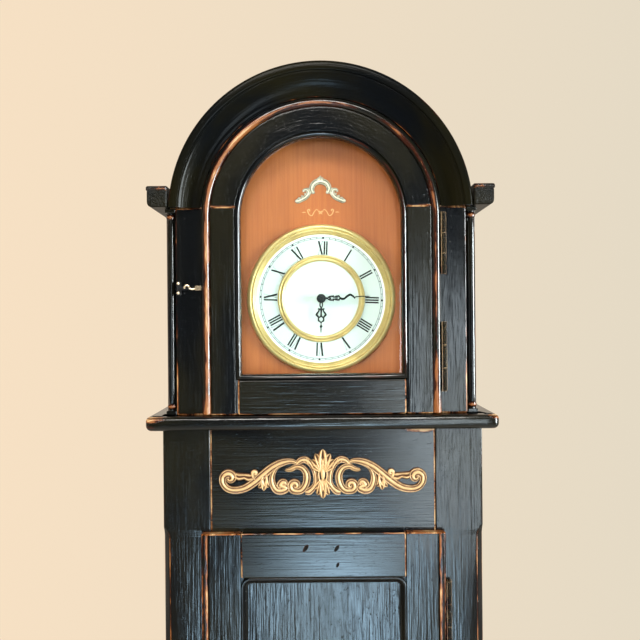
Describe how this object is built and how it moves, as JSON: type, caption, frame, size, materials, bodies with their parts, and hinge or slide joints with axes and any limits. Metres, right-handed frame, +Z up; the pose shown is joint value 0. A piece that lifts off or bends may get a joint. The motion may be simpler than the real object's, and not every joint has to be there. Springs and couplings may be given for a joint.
{
  "type": "longcase clock",
  "caption": "Tall floor-standing pendulum clock: arched hood with a glazed door, panelled trunk door, plinth base and a rope-driven movement.",
  "frame": {"origin": "centre of the floor area under the clock, at floor level", "axes": "+Z up, -Y out of the dial towards the viewer, +X to the viewer's right"},
  "size_m": [0.464, 0.25, 1.9555],
  "materials": {
    "black_paint": "black brushed paint, semi-gloss, worn to the wood at the edges",
    "painted_iron": "iron, painted over in black",
    "bare_wood": "unfinished softwood",
    "board_veneer": "red-brown veneer, satin",
    "dial_enamel": "white enamel, satin",
    "dial_brass": "satin, lacquered",
    "gilt_mount": "pale gilt, matt",
    "brass": "dull, handled",
    "black_steel": "blackened",
    "steel": "plain",
    "rope": "twisted hemp",
    "glass": "clear"
  },
  "bodies": {
    "case": {"backboard": "bare_wood", "trunk_side_left": "black_paint", "trunk_side_right": "black_paint", "trunk_front_frame": "black_paint", "waist_moulding": "black_paint", "base_box": "black_paint", "base_moulding": "black_paint", "plinth_skirting": "black_paint", "seatboard": "bare_wood", "dial_board": "board_veneer", "dial_disc": "dial_enamel", "outer_bezel": "dial_brass", "inner_bezel": "dial_brass", "dial_ornament": "gilt_mount", "trunk_applique": "gilt_mount", "front_plate": "brass", "back_plate": "brass", "back_cock": "brass", "trunk_hinge_upper_fixed": "painted_iron", "trunk_hinge_lower_fixed": "painted_iron", "weight_line": "rope", "free_line": "rope"},
    "hood": {"hood_front_frame": "black_paint", "arch_moulding": "black_paint", "hood_roof": "black_paint", "hood_side_left": "black_paint", "hood_side_right": "black_paint", "cornice_left": "black_paint", "cornice_right": "black_paint", "column_left": "black_paint", "column_right": "black_paint", "catch_plate": "brass", "hood_hinge_upper_fixed": "painted_iron", "hood_hinge_lower_fixed": "painted_iron"},
    "hood_door": {"hood_door_frame": "black_paint", "hood_glass": "glass", "hood_hinge_upper_door": "painted_iron", "hood_hinge_lower_door": "painted_iron", "hook_eye": "brass"},
    "hook": {"door_hook": "brass"},
    "trunk_door": {"trunk_door_frame": "black_paint", "trunk_door_panel": "black_paint", "trunk_hinge_upper_door": "painted_iron", "trunk_hinge_lower_door": "painted_iron", "latch_escutcheon": "brass"},
    "latch": {"trunk_latch": "brass"},
    "great_arbor": {"great_wheel": "brass"},
    "minute_arbor": {"centre_wheel": "brass", "cannon_pinion": "brass", "minute_hand": "black_steel"},
    "third_arbor": {"third_wheel": "brass"},
    "escape_arbor": {"escape_wheel": "brass"},
    "minute_stud_wheel": {"minute_wheel": "brass"},
    "hour_pipe": {"hour_wheel": "brass", "hour_hand": "black_steel"},
    "anchor": {"pallet_anchor": "steel"},
    "pendulum": {"pendulum_rod": "steel"},
    "bob": {"pendulum_bob": "brass"},
    "nut": {"rating_nut": "brass"},
    "weight": {"weight_shell": "brass"}
  },
  "joints": [
    {"name": "hood_slide", "type": "slide", "parent": "case", "child": "hood", "axis": [0, -1, 0], "range_m": [0, 0.26]},
    {"name": "hood_door_hinge", "type": "hinge", "parent": "hood", "child": "hood_door", "pos_m": [0.1625, -0.097, 1.748], "axis": [0, 0, 1], "range_deg": [0, 110]},
    {"name": "hook_swing", "type": "hinge", "parent": "hood_door", "child": "hook", "pos_m": [-0.1632, -0.0965, 1.656], "axis": [0, 1, 0], "range_deg": [0, 75]},
    {"name": "trunk_door_hinge", "type": "hinge", "parent": "case", "child": "trunk_door", "pos_m": [0.166, -0.097, 0.9], "axis": [0, 0, 1], "range_deg": [0, 110]},
    {"name": "trunk_latch_turn", "type": "hinge", "parent": "trunk_door", "child": "latch", "pos_m": [-0.133, -0.104, 0.9], "axis": [0, 1, 0], "range_deg": [0, 90]},
    {"name": "minute_arbor_turn", "type": "hinge", "parent": "case", "child": "minute_arbor", "pos_m": [0, 0, 1.6415], "axis": [0, 1, 0], "continuous": true},
    {"name": "great_wheel_turn", "type": "hinge", "parent": "case", "child": "great_arbor", "pos_m": [0, 0, 1.59775], "axis": [0, 1, 0], "continuous": true},
    {"name": "third_wheel_turn", "type": "hinge", "parent": "case", "child": "third_arbor", "pos_m": [0.02, 0, 1.669], "axis": [0, 1, 0], "continuous": true},
    {"name": "escape_wheel_turn", "type": "hinge", "parent": "case", "child": "escape_arbor", "pos_m": [0, 0, 1.69449], "axis": [0, 1, 0], "continuous": true},
    {"name": "minute_wheel_turn", "type": "hinge", "parent": "case", "child": "minute_stud_wheel", "pos_m": [-0.024, 0, 1.6415], "axis": [0, 1, 0], "continuous": true},
    {"name": "hour_wheel_turn", "type": "hinge", "parent": "case", "child": "hour_pipe", "pos_m": [0, 0, 1.6415], "axis": [0, 1, 0], "continuous": true},
    {"name": "pendulum_swing", "type": "hinge", "parent": "case", "child": "pendulum", "pos_m": [0, 0.061, 1.72], "axis": [0, 1, 0], "range_deg": [-2.5, 2.5]},
    {"name": "pallet_rock", "type": "hinge", "parent": "case", "child": "anchor", "pos_m": [0, 0.021, 1.72], "axis": [0, 1, 0], "range_deg": [-2.6, 2.6]},
    {"name": "bob_slide", "type": "slide", "parent": "pendulum", "child": "bob", "axis": [0, 0, 1], "range_m": [-0.004, 0.004]},
    {"name": "rating_nut_turn", "type": "hinge", "parent": "bob", "child": "nut", "pos_m": [0, 0.061, 0.6554], "axis": [0, 0, 1], "range_deg": [-1445, 1445]},
    {"name": "weight_lift", "type": "slide", "parent": "case", "child": "weight", "axis": [0, 0, 1], "range_m": [0, 0.8], "deforming": ["weight_line"]}
  ],
  "couplings": [
    {"joint": "great_wheel_turn", "follows": "minute_arbor_turn", "ratio": -0.16667},
    {"joint": "third_wheel_turn", "follows": "minute_arbor_turn", "ratio": -7.5},
    {"joint": "escape_wheel_turn", "follows": "minute_arbor_turn", "ratio": 60},
    {"joint": "minute_wheel_turn", "follows": "minute_arbor_turn", "ratio": -0.33333},
    {"joint": "hour_wheel_turn", "follows": "minute_arbor_turn", "ratio": 0.083333},
    {"joint": "pallet_rock", "follows": "pendulum_swing", "ratio": 1},
    {"joint": "rating_nut_turn", "follows": "bob_slide", "rad_per_m": 6283.2}
  ]
}
